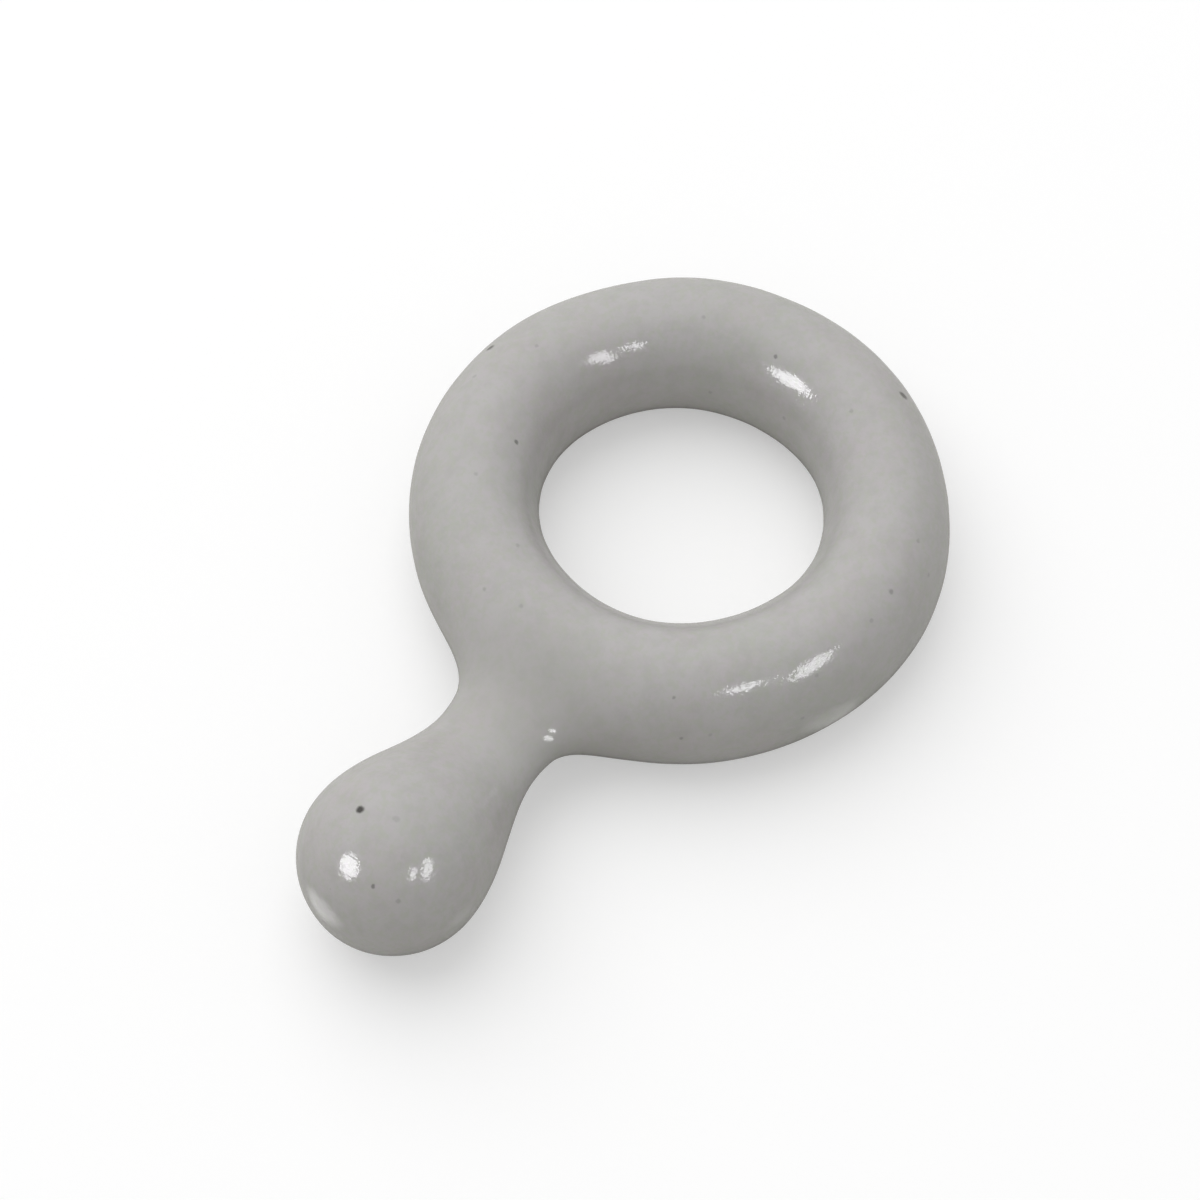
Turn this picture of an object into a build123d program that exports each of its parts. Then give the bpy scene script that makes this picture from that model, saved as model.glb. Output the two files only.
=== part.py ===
from build123d import *
import os

# Chopstick rest of glazed stoneware: a closed ring of clay and a drop with a waisted neck, luted
# together with slip and covered by one coat of glaze.  +X runs from the drop to the ring, +Z is up,
# and the origin is on the table, under the middle of the length.

# Driving dimensions in millimetres.  Outside sizes are finished sizes, over the glaze.
RING_RADIUS = 17.5        # ring axis to the middle of its section
SECTION_WIDTH = 10.87     # upright oval section of the ring
SECTION_HEIGHT = 12.87
BALL_RADIUS = 7.84        # round end of the drop
VALLEY_WIDTH = 10.28      # clear way between the ball and the ring
VALLEY_DEPTH = 3.0        # crown of the ring down to the saddle of the neck
NECK_WIDTH = 9.5          # across the waist of the neck
NECK_THICKNESS = 5.7      # saddle to underside at the waist
WAIST_TO_RING = 4.9       # waist of the neck to the outside of the ring
ROOT_WIDTH = 25.0         # across the flared end of the neck, inside the ring
JOIN_HOLLOW = 3.0         # radius of the glaze gathered in the corner round the join
GLAZE_THICKNESS = 0.3
SLIP_THICKNESS = 0.25     # layer of slip between neck and ring
FOOT_DEPTH = 0.3          # clay ground off the round underside to make a flat foot
GLAZE_LINE = 0.5          # height over the table where the wiped-off glaze begins

# The shape of the neck: how full its shoulder is, and where its end is buried in the ring's clay.
SHOULDER_FULLNESS = 1.08
ROOT_PLACE = 0.3          # past the middle of the ring's section, as a share of its half width
ROOT_HEIGHT = 0.65        # height of the buried end, as a share of the section's height
SHOULDER_SECTIONS = 12
FLARE_SECTIONS = 6

half_width = SECTION_WIDTH / 2
half_height = SECTION_HEIGHT / 2
ring_outside = RING_RADIUS + half_width
length = 2 * BALL_RADIUS + VALLEY_WIDTH + 2 * ring_outside
ball_x = BALL_RADIUS - length / 2
ring_x = length / 2 - ring_outside
waist_x = ring_x - ring_outside - WAIST_TO_RING
root_x = ring_x - RING_RADIUS + ROOT_PLACE * half_width

# The round undersides start below the table, by the glaze that is wiped off and the clay ground away.
below_table = GLAZE_THICKNESS + FOOT_DEPTH
ring_z = half_height - below_table
ball_z = BALL_RADIUS - below_table
saddle_z = ring_z + half_height - VALLEY_DEPTH
underside_z = saddle_z - NECK_THICKNESS


def mix(start, end, share):
    return start + (end - start) * share


def above(shape, height):
    """The part of a shape that is higher than the given height."""
    room = 2 * length
    return shape & Pos(0, 0, height + room / 2) * Box(room, room, room)


def oval(across, upward, arc):
    """An oval face whose outline is cut into arcs of the given size, the first one from its foot up."""
    arcs = [
        EllipticalCenterArc((0, 0), across, upward, start_angle=start, arc_size=arc)
        for start in range(-90, 270, arc)
    ]
    return make_face(arcs)


def ring_form(inset):
    """The ring's full form, with its surface set in by the inset."""
    section = Plane.XZ * Pos(RING_RADIUS, 0) * oval(half_width - inset, half_height - inset, 180)
    return Pos(ring_x, 0, ring_z) * revolve(section, Axis.Z)


def neck_section(x, width, bottom, top, inset):
    """An oval across the neck."""
    plane = Plane(origin=(x, 0, (top + bottom) / 2), x_dir=(0, 1, 0), z_dir=(1, 0, 0))
    return plane * oval(width / 2 - inset, (top - bottom) / 2 - inset, 90)


def neck_form(inset):
    """The neck, from the middle of the ball over the waist to its end inside the ring."""
    ball_size = (2 * BALL_RADIUS, ball_z - BALL_RADIUS, ball_z + BALL_RADIUS)
    waist_size = (NECK_WIDTH, underside_z, saddle_z)
    root_half = ROOT_HEIGHT * half_height
    root_size = (ROOT_WIDTH, ring_z - root_half, ring_z + root_half)

    sections = []
    for i in range(SHOULDER_SECTIONS + 1):
        along = i / SHOULDER_SECTIONS
        full = along ** SHOULDER_FULLNESS
        share = full * full * (3 - 2 * full)
        size = [mix(a, b, share) for a, b in zip(ball_size, waist_size)]
        sections.append(neck_section(mix(ball_x, waist_x, along), *size, inset))
    for i in range(1, FLARE_SECTIONS + 1):
        along = i / FLARE_SECTIONS
        size = [mix(a, b, along * along) for a, b in zip(waist_size, root_size)]
        sections.append(neck_section(mix(waist_x, root_x, along), *size, inset))
    return loft(sections)


def drop_form(inset):
    """The drop's full form: the far half of the ball, and the neck from the middle of the ball on."""
    radius = BALL_RADIUS - inset
    far_half = Sphere(radius) & Pos(-radius, 0, 0) * Box(2 * radius, 2 * radius, 2 * radius)
    return Pos(ball_x, 0, ball_z) * far_half + neck_form(inset)


def joined(ring_part, drop_part, hollow):
    """Ring and drop as one form, with the inner corner all round the join made hollow."""
    whole = ring_part + drop_part
    ring_edges = [e for f in whole.faces() if f.geom_type == GeomType.REVOLUTION for e in f.edges()]
    drop_edges = [e for f in whole.faces() if f.geom_type != GeomType.REVOLUTION for e in f.edges()]
    join = [e for e in ring_edges if any(e.is_same(other) for other in drop_edges)]
    return fillet(join, hollow)


ring_clay = ring_form(GLAZE_THICKNESS)
drop_clay = drop_form(GLAZE_THICKNESS)
slip_seat = ring_form(GLAZE_THICKNESS - SLIP_THICKNESS)
finished = joined(ring_form(0), drop_form(0), JOIN_HOLLOW)

# Clay and slip stand on the table; the glaze ends above it.
ring = above(ring_clay, 0)
drop = above(drop_clay - slip_seat, 0)
luting_slip = above((drop_clay & slip_seat) - ring_clay, 0)
glaze_coat = above(finished - ring_clay - drop_clay, GLAZE_LINE)

os.makedirs("parts", exist_ok=True)
pieces = {"ring": ring, "drop": drop, "luting_slip": luting_slip, "glaze_coat": glaze_coat}
for name, piece in pieces.items():
    export_step(piece, f"parts/{name}.step")
    size = piece.bounding_box().size
    print(f"{name}: {len(piece.solids())} solid, {piece.volume:.1f} mm3, "
          f"{size.X:.2f} x {size.Y:.2f} x {size.Z:.2f} mm, valid {piece.is_valid}")
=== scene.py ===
import math

import bmesh
import bpy
import numpy as np
from mathutils import Color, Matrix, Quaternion, Vector


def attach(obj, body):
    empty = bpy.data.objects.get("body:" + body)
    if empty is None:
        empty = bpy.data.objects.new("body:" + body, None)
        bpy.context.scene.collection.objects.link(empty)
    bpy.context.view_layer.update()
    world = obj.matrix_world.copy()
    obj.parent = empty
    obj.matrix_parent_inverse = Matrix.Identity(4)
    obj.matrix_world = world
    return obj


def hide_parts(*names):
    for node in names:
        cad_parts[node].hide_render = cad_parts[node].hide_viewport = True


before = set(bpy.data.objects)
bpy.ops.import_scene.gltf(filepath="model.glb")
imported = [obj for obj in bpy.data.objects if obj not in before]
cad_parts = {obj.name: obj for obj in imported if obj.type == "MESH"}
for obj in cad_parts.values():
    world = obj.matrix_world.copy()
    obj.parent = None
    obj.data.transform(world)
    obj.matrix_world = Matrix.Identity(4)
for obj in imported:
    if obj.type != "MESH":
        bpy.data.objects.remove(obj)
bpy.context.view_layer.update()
mm = 0.001  # shapes below are worked out in millimetres
print("frame loaded:", ", ".join(sorted(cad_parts)))


# shader wiring

def tint(red, green, blue):
    # 0..255 screen colour to scene colour
    colour = Color((red / 255, green / 255, blue / 255)).from_srgb_to_scene_linear()
    return (*colour, 1)


class Wire:
    # one output socket, with operators that add Math nodes
    def __init__(self, finish, socket):
        self.finish, self.socket = finish, socket

    def __add__(self, other):
        return self.finish.maths("ADD", self, other)

    def __radd__(self, other):
        return self.finish.maths("ADD", other, self)

    def __sub__(self, other):
        return self.finish.maths("SUBTRACT", self, other)

    def __rsub__(self, other):
        return self.finish.maths("SUBTRACT", other, self)

    def __mul__(self, other):
        return self.finish.maths("MULTIPLY", self, other)

    def __rmul__(self, other):
        return self.finish.maths("MULTIPLY", other, self)


class Finish:
    # the nodes of one material, or of the world
    def __init__(self, block):
        block.use_nodes = True
        self.block, self.tree = block, block.node_tree
        self.tree.nodes.clear()

    def node(self, kind, settings=None, sockets=None, output=0):
        made = self.tree.nodes.new("ShaderNode" + kind)
        for key, value in (settings or {}).items():
            setattr(made, key, value)
        for key, value in (sockets or {}).items():
            if isinstance(value, Wire):
                self.tree.links.new(value.socket, made.inputs[key])
            else:
                made.inputs[key].default_value = value
        return Wire(self, made.outputs[output]) if made.outputs else None

    def maths(self, operation, *values):
        return self.node("Math", {"operation": operation}, dict(enumerate(values)))

    def vectors(self, operation, *values):
        return self.node("VectorMath", {"operation": operation}, dict(enumerate(values)))

    def mix(self, share, first, second):
        return self.node("Mix", {"data_type": "RGBA"}, {0: share, 6: first, 7: second}, 2)

    def place(self):
        return self.node("TexCoord", output="Object")

    def distance(self, spot, point):
        # point in mm, distance in metres as the spot is
        sockets = {0: spot, 1: tuple(value * mm for value in point)}
        return self.node("VectorMath", {"operation": "DISTANCE"}, sockets, "Value")

    def noise(self, spot, size, detail, rough=0.5, output=0):
        # size is the width of one cloud in mm
        sockets = {"Vector": spot, "Scale": 1 / (size * mm), "Detail": detail, "Roughness": rough}
        return self.node("TexNoise", None, sockets, output)

    def ease(self, value, low, high, start=0.0, end=1.0):
        sockets = {"Value": value, "From Min": low, "From Max": high, "To Min": start, "To Max": end}
        return self.node("MapRange", {"interpolation_type": "SMOOTHSTEP"}, sockets)

    def bump(self, height):
        # height in mm
        return self.node("Bump", None, {"Height": height, "Distance": mm, "Strength": 1.0})

    def surface(self, sockets):
        self.node("OutputMaterial", None, {"Surface": self.node("BsdfPrincipled", None, sockets)})
        return self.block


# glaze coat: the finished outside of ring and drop, as a thin closed skin, in millimetres

glazeCoat = {
    "ringRadius": 17.5,             # to the middle of the section
    "section": (5.435, 6.435),      # half width and half height
    "ballRadius": 7.84,
    "valleyWidth": 10.28,           # clear way between ball and ring
    "valleyDepth": 3.0,             # crown of the ring down to the saddle
    "neckWidth": 9.5,
    "neckThickness": 5.7,
    "waistToRing": 4.9,
    "rootWidth": 25.0,              # flared end of the neck, inside the ring
    "rootPlace": 0.3,               # share of the section's half width
    "rootHeight": 0.65,             # share of the section's half height
    "fullness": 1.08,               # of the ball's shoulder
    "belowTable": 0.6,              # taken off the round undersides
    "joinHollow": 3.3,
    "hollowFade": (15.0, 18.0),     # from the ring's axis: no hollow inside, full outside
    "hollowFoot": (0.5, 2.6),       # no hollow at the wiped line, full at this height
    # hand-rolled clay is never quite round: waves round the ring, height in mm, degrees of one crest
    "pathWaves": [(1, 0.026, -65), (3, 0.032, -65), (4, 0.066, 40), (5, 0.03, -80), (6, 0.036, 160)],
    "sectionWaves": [(1, 0.135, -165), (2, 0.02, 119), (3, 0.046, 29), (4, 0.022, 37)],
    # dents left by the fingers: height in mm, then waves that are multiplied,
    # each as radians a millimetre along x, y and z, and where it starts
    "dents": [
        (0.035, (0.31, 0, 0, 0.9), (0, 0.27, 0, 1.3)),
        (0.035, (0.21, -0.36, 0, 2.1), (0, 0, 0.4, 0.4)),
        (0.007, (1.1, 0.7, 0, 0.3), (0, 0.9, -0.8, 1.1)),
        (0.007, (-0.9, 0, 1.3, 0.5), (0, 1.2, 0, 0.4)),
    ],
    "glazeLine": 0.5,               # wiped edge over the table, and its waves
    "lineWaves": [(0.1, (0.52, 0, 0, 0.4), (0, 0.47, 0, 1.0)), (0.05, (1.15, -0.8, 0, 0))],
    "depth": 0.34,                  # skin reaches just into the clay
    "lipRows": 3,                   # rounded lip along the wiped edge
    "lipFullness": 0.8,
    "roughTurns": 24,               # first rough net: points over a section,
    "roughAround": 96,              # sections round the ring
    "roughRows": 40,                # and sections along the drop
    "roughTip": 0.98,               # share of the ball's radius, so that the end row keeps a little width
    "voxel": 0.4,
    "settleRounds": 14,             # rounds that even the net out,
    "evenShare": 0.5,               # each by this share
    "layRounds": 6,                 # steps that lay points on the form
    "lastRounds": 4,
    "rimMerge": 0.16,               # shortest step along the wiped edge
    "thinnest": 0.01,
}
tiny = 1e-6  # keeps divisions off zero


def placeCoat(shape):
    # works out where the parts of the form lie along x and z
    halfWidth, halfHeight = shape["section"]
    outside = shape["ringRadius"] + halfWidth
    ballRadius = shape["ballRadius"]
    length = 2 * ballRadius + shape["valleyWidth"] + 2 * outside
    ringX, ringZ = length / 2 - outside, halfHeight - shape["belowTable"]
    saddle = ringZ + halfHeight - shape["valleyDepth"]
    rootHalf = shape["rootHeight"] * halfHeight
    shape["ringCentre"] = (ringX, 0.0, ringZ)
    shape["ballCentre"] = (ballRadius - length / 2, 0.0, ballRadius - shape["belowTable"])
    shape["waistAt"] = ringX - outside - shape["waistToRing"]
    shape["rootAt"] = ringX - shape["ringRadius"] + shape["rootPlace"] * halfWidth
    # half width, underside and top
    shape["waist"] = (shape["neckWidth"] / 2, saddle - shape["neckThickness"], saddle)
    shape["root"] = (shape["rootWidth"] / 2, ringZ - rootHalf, ringZ + rootHalf)


placeCoat(glazeCoat)


def easeIn(value, low, high):
    share = np.clip((value - low) / (high - low), 0, 1)
    return share * share * (3 - 2 * share)


def ovalDistance(across, upward, halfAcross, halfUpward):
    # about the distance to an oval, below zero inside it
    share = np.hypot(across / halfAcross, upward / halfUpward)
    steep = np.hypot(across / halfAcross ** 2, upward / halfUpward ** 2)
    return share * (share - 1) / np.maximum(steep, tiny)


def wavesRound(around, waves):
    return sum(height * np.cos(turns * around - math.radians(crest)) for turns, height, crest in waves)


def wavesAt(p, rows):
    # each row is a height and the waves that it is multiplied by
    total = np.zeros(len(p))
    for height, *waves in rows:
        for *along, start in waves:
            height = height * np.sin(p @ np.array(along) + start)
        total += height
    return total


def ringField(p, shape, handMade):
    x, y, z = (p - shape["ringCentre"]).T
    around = np.arctan2(y, x)
    halfWidth, halfHeight = shape["section"]
    radius = shape["ringRadius"] + handMade * wavesRound(around, shape["pathWaves"])
    swell = 1 + handMade * wavesRound(around, shape["sectionWaves"]) / halfWidth
    return ovalDistance(np.hypot(x, y) - radius, z, halfWidth * swell, halfHeight * swell)


def dropSizes(x, shape):
    # half width, underside and top of the drop, from the middle of the ball on
    ballX, _, ballZ = shape["ballCentre"]
    radius, waistAt, rootAt = shape["ballRadius"], shape["waistAt"], shape["rootAt"]
    along = np.clip((x - ballX) / (waistAt - ballX), 0, 1)
    narrow = easeIn(along ** shape["fullness"], 0, 1)
    flare = np.clip((x - waistAt) / (rootAt - waistAt), 0, 1) ** 2
    sizes = []
    for ball, waist, root in zip((radius, ballZ - radius, ballZ + radius), shape["waist"], shape["root"]):
        size = ball + (waist - ball) * narrow
        sizes.append(size + (root - size) * flare)
    return sizes


def dropField(p, shape):
    x, y, z = p.T
    halfWidth, under, top = dropSizes(x, shape)
    neck = ovalDistance(y, z - (top + under) / 2, halfWidth, (top - under) / 2)
    ball = np.linalg.norm(p - shape["ballCentre"], axis=1) - shape["ballRadius"]
    return np.where(x < shape["ballCentre"][0], ball, np.maximum(neck, x - shape["rootAt"]))


def coatField(p, shape, handMade=1.0):
    # ring and drop with a round hollow along their join; handMade 0 gives the plain form
    ring, drop = ringField(p, shape, handMade), dropField(p, shape)
    x, y, _ = (p - shape["ringCentre"]).T
    hollow = shape["joinHollow"] * easeIn(np.hypot(x, y), *shape["hollowFade"])
    hollow = hollow * easeIn(p[:, 2], *shape["hollowFoot"])
    nearRing, nearDrop = np.maximum(hollow - ring, 0), np.maximum(hollow - drop, 0)
    joined = np.maximum(hollow, np.minimum(ring, drop)) - np.hypot(nearRing, nearDrop)
    return joined - handMade * wavesAt(p, shape["dents"])


def slope(field, p):
    reach = 1e-3  # mm to either side
    rises = [field(p + reach * axis) - field(p - reach * axis) for axis in np.eye(3)]
    return np.stack(rises, 1) / (2 * reach)


def unit(vectors):
    return vectors / np.linalg.norm(vectors, axis=1)[:, None]


def ontoField(field, p, rounds):
    # moves points to where the field is zero
    longestStep = 0.6  # mm
    for _ in range(rounds):
        rise = slope(field, p)
        move = field(p)[:, None] * rise / np.maximum((rise ** 2).sum(1), tiny)[:, None]
        p = p - np.clip(move, -longestStep, longestStep)
    return p


def addRows(bm, rows, closed):
    # a net over rows of points: closed joins the last row to the first, otherwise both ends are capped
    made = [[bm.verts.new(Vector(point) * mm) for point in row] for row in rows]
    pairs = list(zip(made, made[1:])) + ([(made[-1], made[0])] if closed else [])
    for first, second in pairs:
        for i in range(len(first)):
            j = (i + 1) % len(first)
            bm.faces.new((first[i], first[j], second[j], second[i]))
    if not closed:
        bm.faces.new(made[0])
        bm.faces.new(list(reversed(made[-1])))


def roughForm(shape):
    # ring and drop as plain nets, made into one even net
    bm = bmesh.new()
    halfWidth, halfHeight = shape["section"]
    turns = np.linspace(0, 2 * math.pi, shape["roughTurns"], endpoint=False)
    reach, lift = shape["ringRadius"] + halfWidth * np.cos(turns), halfHeight * np.sin(turns)
    rows = []
    for around in np.linspace(0, 2 * math.pi, shape["roughAround"], endpoint=False):
        row = np.stack([reach * np.cos(around), reach * np.sin(around), lift], 1)
        rows.append(row + shape["ringCentre"])
    addRows(bm, rows, True)

    ballX, radius = shape["ballCentre"][0], shape["ballRadius"]
    rows = []
    for at in np.linspace(ballX - shape["roughTip"] * radius, shape["rootAt"], shape["roughRows"]):
        halfWidth, under, top = dropSizes(at, shape)
        shrink = math.sqrt(1 - (max(ballX - at, 0) / radius) ** 2)
        across = halfWidth * shrink * np.cos(turns)
        upward = (top - under) / 2 * shrink * np.sin(turns) + (top + under) / 2
        rows.append(np.stack([np.full(len(turns), at), across, upward], 1))
    addRows(bm, rows, False)

    bmesh.ops.recalc_face_normals(bm, faces=bm.faces[:])
    mesh = bpy.data.meshes.new("rough_form")
    bm.to_mesh(mesh)
    bm.free()
    rough = bpy.data.objects.new("rough_form", mesh)
    bpy.context.collection.objects.link(rough)
    remesh = rough.modifiers.new("remesh", "REMESH")
    remesh.mode, remesh.voxel_size = "VOXEL", shape["voxel"] * mm
    even = bpy.data.meshes.new_from_object(rough.evaluated_get(bpy.context.evaluated_depsgraph_get()))
    bpy.data.objects.remove(rough)
    bpy.data.meshes.remove(mesh)
    return even


def settle(mesh, field, shape):
    # evens out the net along the surface and lays it on the form
    p = np.empty(len(mesh.vertices) * 3)
    mesh.vertices.foreach_get("co", p)
    p = p.reshape(-1, 3) / mm
    edges = np.empty(len(mesh.edges) * 2, int)
    mesh.edges.foreach_get("vertices", edges)
    edges = edges.reshape(-1, 2)
    count = np.bincount(edges.ravel(), minlength=len(p))[:, None]
    for _ in range(shape["settleRounds"]):
        p = ontoField(field, p, 1)
        around = np.zeros_like(p)
        np.add.at(around, edges[:, 0], p[edges[:, 1]])
        np.add.at(around, edges[:, 1], p[edges[:, 0]])
        step = around / count - p
        normal = unit(slope(field, p))
        p = p + shape["evenShare"] * (step - (step * normal).sum(1)[:, None] * normal)
    p = ontoField(field, p, shape["lastRounds"])
    mesh.vertices.foreach_set("co", (p * mm).ravel())
    mesh.update()


def wipedNet(mesh, shape):
    # cuts the net off at the wavy wiped edge: gives its points, faces and the steps along that edge
    bm = bmesh.new()
    bm.from_mesh(mesh)

    def wipedLines():
        points = np.array([vert.co for vert in bm.verts]) / mm
        return (shape["glazeLine"] + wavesAt(points, shape["lineWaves"])) * mm

    # the edge is bent flat for the cut and back again after it
    for vert, line in zip(bm.verts, wipedLines()):
        vert.co.z -= line
    everything = bm.verts[:] + bm.edges[:] + bm.faces[:]
    onPlane = 1e-7  # metres
    bmesh.ops.bisect_plane(bm, geom=everything, dist=onPlane, plane_no=(0, 0, 1), clear_inner=True)
    edgeVerts = [vert for vert in bm.verts if vert.is_boundary]
    bmesh.ops.remove_doubles(bm, verts=edgeVerts, dist=shape["rimMerge"] * mm)
    bmesh.ops.dissolve_degenerate(bm, edges=bm.edges[:], dist=shape["thinnest"] * mm)
    for vert, line in zip(bm.verts, wipedLines()):
        vert.co.z += line
    bm.verts.index_update()
    points = np.array([vert.co for vert in bm.verts]) / mm
    faces = [[vert.index for vert in face.verts] for face in bm.faces]
    loops = [edge.link_loops[0] for edge in bm.edges if edge.is_boundary]
    rim = [(loop.vert.index, loop.link_loop_next.vert.index) for loop in loops]
    bm.free()
    return points, faces, rim


def makeGlazeCoat(shape):
    def outside(p):
        return coatField(p, shape)

    def clay(p):
        return coatField(p, shape, 0.0) + shape["depth"]

    mesh = roughForm(shape)
    settle(mesh, outside, shape)
    outer, faces, rim = wipedNet(mesh, shape)
    inner = ontoField(clay, outer, shape["layRounds"])
    count = len(outer)
    faces += [[count + i for i in reversed(face)] for face in faces]

    # rounded lip along the wiped edge
    rimVerts = sorted({i for step in rim for i in step})
    seat = {i: n for n, i in enumerate(rimVerts)}
    middle, half = (outer[rimVerts] + inner[rimVerts]) / 2, (outer[rimVerts] - inner[rimVerts]) / 2
    normal = unit(slope(outside, outer[rimVerts]))
    down = unit(normal[:, 2:] * normal - np.array([0, 0, 1.0]))  # along the skin
    drop = down * np.linalg.norm(half, axis=1)[:, None] * shape["lipFullness"]
    rows = shape["lipRows"]
    turns = [math.pi * row / (rows + 1) for row in range(1, rows + 1)]
    lips = [middle + half * math.cos(turn) + drop * math.sin(turn) for turn in turns]

    def lipVert(row, i):
        if row == 0:
            return i
        if row > rows:
            return count + i
        return 2 * count + (row - 1) * len(rimVerts) + seat[i]

    for a, b in rim:
        for row in range(rows + 1):
            faces.append([lipVert(row, b), lipVert(row, a), lipVert(row + 1, a), lipVert(row + 1, b)])
    skin = bpy.data.meshes.new("glaze_skin")
    skin.from_pydata((np.concatenate([outer, inner] + lips) * mm).tolist(), [], faces)
    skin.polygons.foreach_set("use_smooth", [True] * len(skin.polygons))
    skin.update()
    bpy.data.meshes.remove(mesh)
    coat = bpy.data.objects.new("glaze_skin", skin)
    bpy.context.collection.objects.link(coat)
    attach(coat, "root")
    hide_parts("glaze_coat")
    print("glaze coat:", len(skin.polygons), "faces,", len(rim), "steps along the wiped edge")
    return coat


glazeLook = {
    "pale": tint(189, 187, 186),
    "green": tint(182, 183, 178),
    "warm": tint(188, 183, 183),
    "pooled": tint(164, 163, 158),
    "rosy": tint(192, 185, 190),
    "ashy": tint(180, 184, 169),
    "iron": tint(58, 56, 52),
    # clouds and flecks over the pale glaze: tint, width in mm, detail, roughness, from and to, most cover
    "clouds": [
        ("green", 8.0, 4, 0.6, 0.45, 0.68, 0.7),
        ("warm", 5.0, 4, 0.65, 0.46, 0.7, 0.7),
        ("pooled", 1.6, 3, 0.6, 0.35, 0.75, 0.28),
        ("rosy", 0.7, 2, 0.6, 0.45, 0.68, 0.45),
        ("ashy", 0.6, 2, 0.6, 0.45, 0.68, 0.45),
    ],
    "cloudShift": (110, 230, 70),       # mm from one cloud pattern to the next
    # glaze gathers in the corner round the neck and lies smoother there
    "cornerAt": (-9.0, 0, 5.5),
    "cornerReach": (4.5, 10.0),
    "cornerCover": 0.35,
    "smoothReach": (6.5, 11.0),
    "smoothing": 0.85,
    # iron specks on the ring: degrees round it, degrees over its section from outside,
    # radius in mm and strength
    "ringSpecks": [
        (85, 47, 0.42, 0.72), (110.5, 124, 0.23, 0.58), (2, 120, 0.2, 0.48), (-29.5, 49, 0.46, 0.74),
        (-88, 61, 0.25, 0.33), (-148, 53, 0.15, 0.34), (-146, 18, 0.17, 0.3),
    ],
    # on the ball: degrees round it and degrees up from its middle
    "ballSpecks": [
        (115, 70.5, 0.37, 0.92), (-160, 45, 0.2, 0.55), (-140, 37, 0.24, 0.21), (-117, 85, 0.31, 0.14),
    ],
    # faint ones on the ring, all of one kind
    "faintSpecks": [
        (79, 88), (95, 60), (126, 92), (28, 105), (22, 173), (-11, 164), (-30, 109), (-72, 59), (-77, 36),
        (-97, 58), (-115, 47), (-140, 20), (-110, 61), (152, 111), (169, 77), (159, 64), (-120, 15),
    ],
    "faintKind": (0.2, 0.18),           # that radius in mm and strength
    "speckEdge": (0.45, 1.3),           # full and gone, as shares of the radius
    "speckShake": (0.385, 0.22),        # mm: width and reach of the unevenness of their outlines
    "pinCell": 3.85,                    # mm: at most one pin speck in each
    "pinEdge": (0.012, 0.036),          # shares of the cell
    "pinChance": (0.82, 0.98),
    "pinStrength": 0.3,
    "roughness": 0.1,
    "roughVary": (4.0, 0.05),           # width in mm, and how much rougher
    "ripples": [(2.2, 0.026), (0.32, 0.0152)],  # width and height in mm
    "speckPit": 0.014,                  # mm
    "ior": 1.5,
}


def outward(turn, height):
    # unit vector, turn from +X and height over the table in degrees
    turn, height = math.radians(turn), math.radians(height)
    return Vector((math.cos(turn) * math.cos(height), math.sin(turn) * math.cos(height), math.sin(height)))


def laySpecks(look, shape):
    # place, radius and strength of each speck on the skin
    halfWidth, halfHeight = shape["section"]
    specks = []
    faint = [(*turns, *look["faintKind"]) for turns in look["faintSpecks"]]
    for around, over, *kind in look["ringSpecks"] + faint:
        over = math.radians(over)
        reach = shape["ringRadius"] + halfWidth * math.cos(over)
        lift = Vector((0, 0, halfHeight * math.sin(over)))
        specks.append((Vector(shape["ringCentre"]) + outward(around, 0) * reach + lift, *kind))
    for around, height, *kind in look["ballSpecks"]:
        specks.append((Vector(shape["ballCentre"]) + outward(around, height) * shape["ballRadius"], *kind))
    places = np.array([speck[0] for speck in specks])
    laid = ontoField(lambda p: coatField(p, shape), places, shape["layRounds"])
    return [(place, *speck[1:]) for place, speck in zip(laid, specks)]


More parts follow.
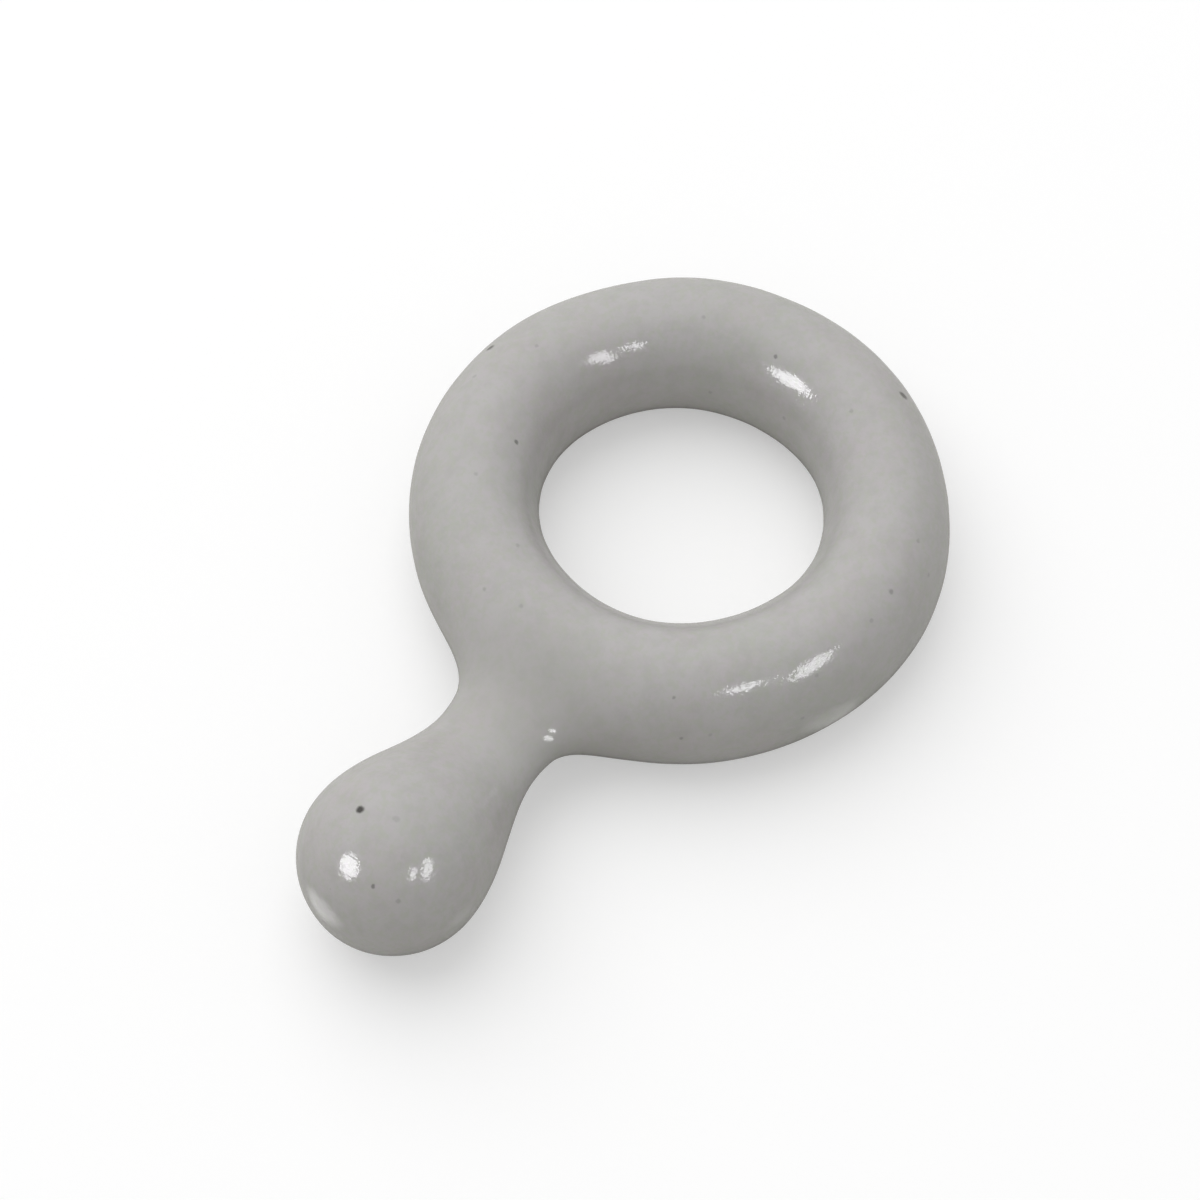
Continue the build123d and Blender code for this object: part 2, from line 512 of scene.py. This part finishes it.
def glazeFinish(look, shape):
    f = Finish(bpy.data.materials.new("pale_glaze"))
    spot = f.place()
    colour = look["pale"]
    shift = Vector(look["cloudShift"]) * mm
    for number, (name, size, detail, rough, low, high, cover) in enumerate(look["clouds"]):
        cloud = f.noise(f.vectors("ADD", spot, shift * number), size, detail, rough)
        colour = f.mix(f.ease(cloud, low, high, 0.0, cover), colour, look[name])
    corner = f.distance(spot, look["cornerAt"])
    near, far = look["cornerReach"]
    colour = f.mix(f.ease(corner, near * mm, far * mm, look["cornerCover"], 0.0), colour, look["pooled"])

    # specks with uneven outlines
    width, reach = look["speckShake"]
    shake = f.noise(spot, width, detail=1, output="Color")
    shake = f.vectors("SUBTRACT", shake, (0.5, 0.5, 0.5))  # as much to either side
    shaken = f.vectors("MULTIPLY_ADD", shake, (reach * mm,) * 3, spot)
    full, gone = look["speckEdge"]
    dark = 0.0
    for place, radius, strength in laySpecks(look, shape):
        away = f.distance(shaken, place)
        dark = f.maths("MAXIMUM", dark, f.ease(away, full * radius * mm, gone * radius * mm, strength, 0.0))
    colour = f.mix(dark, colour, look["iron"])
    # a few pin specks all over
    cells = {"Vector": spot, "Scale": 1 / (look["pinCell"] * mm)}
    chance = f.node("SeparateColor", None, {"Color": f.node("TexVoronoi", None, cells, "Color")})
    pin = f.ease(f.node("TexVoronoi", None, cells, "Distance"), *look["pinEdge"], 1.0, 0.0)
    pin = pin * f.ease(chance, *look["pinChance"])
    colour = f.mix(pin * look["pinStrength"], colour, look["iron"])

    width, vary = look["roughVary"]
    rough = look["roughness"] + vary * f.noise(spot, width, detail=2)
    relief = -look["speckPit"] * dark
    for width, height in look["ripples"]:
        relief = relief + height * f.noise(spot, width, detail=1)
    near, far = look["smoothReach"]
    relief = relief * (1 - f.ease(corner, near * mm, far * mm, look["smoothing"], 0.0))
    normal = f.bump(relief)
    return f.surface({"Base Color": colour, "Roughness": rough, "IOR": look["ior"], "Normal": normal})


# bare clay under the feet, and the slip between the two pieces of clay

bareClay = {
    "body": tint(176, 165, 148),
    "dusky": tint(150, 136, 118),
    "grit": tint(92, 78, 66),
    "toast": tint(150, 112, 82),
    "cloud": (6.0, 0.35, 0.7),          # width in mm, from and to; so is the grain
    "grain": (0.35, 0.6, 0.78),
    "grainCover": 0.5,
    "toastFrom": 0.2,                   # mm over the table, where the fire coloured the clay
    "toastTo": 0.5,
    "toastWave": (1.5, 0.25),           # mm: width and height of its uneven edge
    "toastCover": 0.7,
    "scratch": (3.3, 0.24, 0.24),       # mm: fine scratches from grinding the foot flat
    "scratchEdge": (0.6, 0.75),
    "scratchCover": 0.25,
    "scratchDepth": 0.03,               # mm
    "grainDepth": 0.05,                 # mm
    "roughness": 0.8,
    "roughVary": 0.15,
}
slipLook = dict(bareClay, body=tint(186, 178, 164), dusky=tint(166, 156, 140))
slipLook.update(grainDepth=0.02, scratch=None)


def clayFinish(name, look):
    f = Finish(bpy.data.materials.new(name))
    spot = f.place()
    width, low, high = look["cloud"]
    cloud = f.noise(spot, width, detail=3, rough=0.6)
    colour = f.mix(f.ease(cloud, low, high), look["body"], look["dusky"])
    width, low, high = look["grain"]
    grain = f.noise(spot, width, detail=2, rough=0.6)
    colour = f.mix(f.ease(grain, low, high, 0.0, look["grainCover"]), colour, look["grit"])
    width, height = look["toastWave"]
    level = f.node("SeparateXYZ", None, {"Vector": spot}, "Z")
    level = level + height * mm * f.noise(spot, width, detail=2)
    toast = f.ease(level, look["toastFrom"] * mm, look["toastTo"] * mm, 0.0, look["toastCover"])
    colour = f.mix(toast, colour, look["toast"])
    relief = look["grainDepth"] * grain
    if look["scratch"]:
        drawn = f.vectors("DIVIDE", spot, look["scratch"])
        scratch = f.noise(drawn, 1, detail=2)  # drawn out already, so of size 1
        relief = relief + look["scratchDepth"] * scratch
        marked = f.ease(scratch, *look["scratchEdge"], 0.0, look["scratchCover"])
        colour = f.mix(marked, colour, look["dusky"])
    rough = look["roughness"] + look["roughVary"] * grain
    return f.surface({"Base Color": colour, "Roughness": rough, "Normal": f.bump(relief)})


coat = makeGlazeCoat(glazeCoat)
glaze = glazeFinish(glazeLook, glazeCoat)
coat.data.materials.append(glaze)
stoneware = clayFinish("bare_stoneware", bareClay)
firedSlip = clayFinish("fired_slip", slipLook)
nodeFinishes = {"ring": stoneware, "drop": stoneware, "luting_slip": firedSlip, "glaze_coat": glaze}
for nodeName, finish in nodeFinishes.items():
    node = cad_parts[nodeName]
    node.data.materials.clear()
    node.data.materials.append(finish)
print("finishes given to", len(nodeFinishes), "nodes")


# table top, light and camera

tableTop = {
    "size": 8.0,                        # metres
    "below": 0.02,                      # mm, clear of the flat feet
    "seen": (0.64, 0.64, 0.64, 1),      # with the lift, white
    "lift": 0.4,
    "bounce": (0.6, 0.6, 0.57, 1),      # mirrored in the glaze and thrown back up onto it
    "roughness": 0.9,
    # painted patches of light: the table glows there with no lamp behind it; place and radius in mm,
    # strength
    "paintedGlints": [(-43.0, 7.5, 7.0, 1.5), (5.0, -24.5, 4.5, 0.4), (-27.8, -13.6, 3.5, 0.22)],  # painted reflections, seen only in the glaze
    "paintedBounce": [(13.0, 0.0, 13.0, 0.3)],  # painted light, thrown up only onto the ring's inner side
    "patchCore": 0.4,                   # share of the radius that is painted at full strength
}


def makeTable(look):
    half, level = look["size"] / 2, -look["below"] * mm
    corners = [(-half, -half, level), (half, -half, level), (half, half, level), (-half, half, level)]
    mesh = bpy.data.meshes.new("table_top")
    mesh.from_pydata(corners, [], [(0, 1, 2, 3)])
    top = bpy.data.objects.new("table_top", mesh)
    bpy.context.collection.objects.link(top)
    f = Finish(bpy.data.materials.new("table_white"))
    camera = f.node("LightPath", output="Is Camera Ray")
    diffuse = f.node("LightPath", output="Is Diffuse Ray")
    glossy = f.node("LightPath", output="Is Glossy Ray")
    through = f.node("LightPath", output="Is Transmission Ray")
    mirror = f.maths("MAXIMUM", glossy, through)
    colour = f.mix(camera, look["bounce"], look["seen"])
    spot = f.place()
    shine = camera * look["lift"]
    # painted patches of light added to the table's glow: painted reflections for glossy rays, painted
    # bounce for diffuse rays
    for rays, patches in ((mirror, look["paintedGlints"]), (diffuse, look["paintedBounce"])):
        for x, y, radius, strength in patches:
            core = look["patchCore"] * radius
            away = f.distance(spot, (x, y, 0))
            shine = shine + rays * f.ease(away, core * mm, radius * mm, strength, 0.0)
    glow = f.node("CombineColor", None, {"Red": shine, "Green": shine, "Blue": shine})
    mesh.materials.append(f.surface({
        "Base Color": colour, "Roughness": look["roughness"], "Specular IOR Level": 0.0,
        "Emission Color": glow, "Emission Strength": 1.0,
    }))


makeTable(tableTop)

roomLight = 0.5
backdrop = tableTop["lift"] + tableTop["seen"][0] * roomLight  # meets the far table without a line
daylight = (0.97, 0.97, 1)
# turn, height and roll in degrees, away and size in metres, glow is brightness where 1 is white
panels = {
    "top_soft": {
        "turn": 72, "height": 60, "roll": 0, "away": 1.3, "size": (1.9, 1.9),
        "glow": 1.42, "colour": (1, 1, 1), "seenIn": "diffuse",
    },
    "left_window": {
        "turn": 152.7, "height": 27, "roll": 50, "away": 2.4, "size": (0.9, 1.05),
        "glow": 13, "colour": daylight, "seenIn": "gloss",
    },
    "right_window_small": {
        "turn": -116.4, "height": 40.5, "roll": -26, "away": 2.4, "size": (0.25, 0.57),
        "glow": 13, "colour": daylight, "seenIn": "gloss",
    },
    "right_window": {
        "turn": -95.5, "height": 34.8, "roll": -41, "away": 2.4, "size": (0.49, 0.97),
        "glow": 9.5, "colour": daylight, "seenIn": "gloss",
    },
}


def aimBack(thing, direction, roll):
    # lamps and cameras look down their own -Z
    thing.rotation_mode = "QUATERNION"
    rolled = Quaternion((0, 0, 1), math.radians(roll))
    thing.rotation_quaternion = direction.to_track_quat("Z", "Y") @ rolled


def makeLight(room, seen, lamps):
    f = Finish(bpy.data.worlds.new("room"))
    strength = room + (seen - room) * f.node("LightPath", output="Is Camera Ray")
    background = f.node("Background", None, {"Color": (1, 1, 1, 1), "Strength": strength})
    f.node("OutputWorld", None, {"Surface": background})
    bpy.context.scene.world = f.block
    for name, lamp in lamps.items():
        light = bpy.data.lights.new(name, "AREA")
        light.shape = "ELLIPSE"
        light.size, light.size_y = lamp["size"]
        light.color = lamp["colour"]
        area = math.pi / 4 * light.size * light.size_y
        light.energy = lamp["glow"] * math.pi * area
        panel = bpy.data.objects.new(name, light)
        toward = outward(lamp["turn"], lamp["height"])
        panel.location = toward * lamp["away"]
        aimBack(panel, toward, lamp["roll"])
        panel.visible_diffuse = lamp["seenIn"] == "diffuse"
        panel.visible_glossy = lamp["seenIn"] == "gloss"
        bpy.context.collection.objects.link(panel)


makeLight(roomLight, backdrop, panels)

photoView = {
    "aim": (5.27, 2.77, -0.6),          # mm
    "turn": -147.61,                    # degrees, as are height and roll
    "height": 59.1,
    "roll": 2.67,
    "away": 350.0,                      # mm from the aim
    "focus": 4094,                      # in pixels of the frame
    "framePixels": 1200,
    "sensor": 36.0,                     # mm
    "clip": (0.01, 50),                 # metres
}


def makeCamera(view):
    data = bpy.data.cameras.new("photo_view")
    data.sensor_width = view["sensor"]
    data.lens = view["sensor"] * view["focus"] / view["framePixels"]
    data.clip_start, data.clip_end = view["clip"]
    camera = bpy.data.objects.new("photo_view", data)
    back = outward(view["turn"], view["height"])
    camera.location = (Vector(view["aim"]) + back * view["away"]) * mm
    aimBack(camera, back, view["roll"])
    bpy.context.collection.objects.link(camera)
    bpy.context.scene.camera = camera


makeCamera(photoView)
bpy.context.scene.view_settings.view_transform = "Standard"
print("table, light and camera in place")
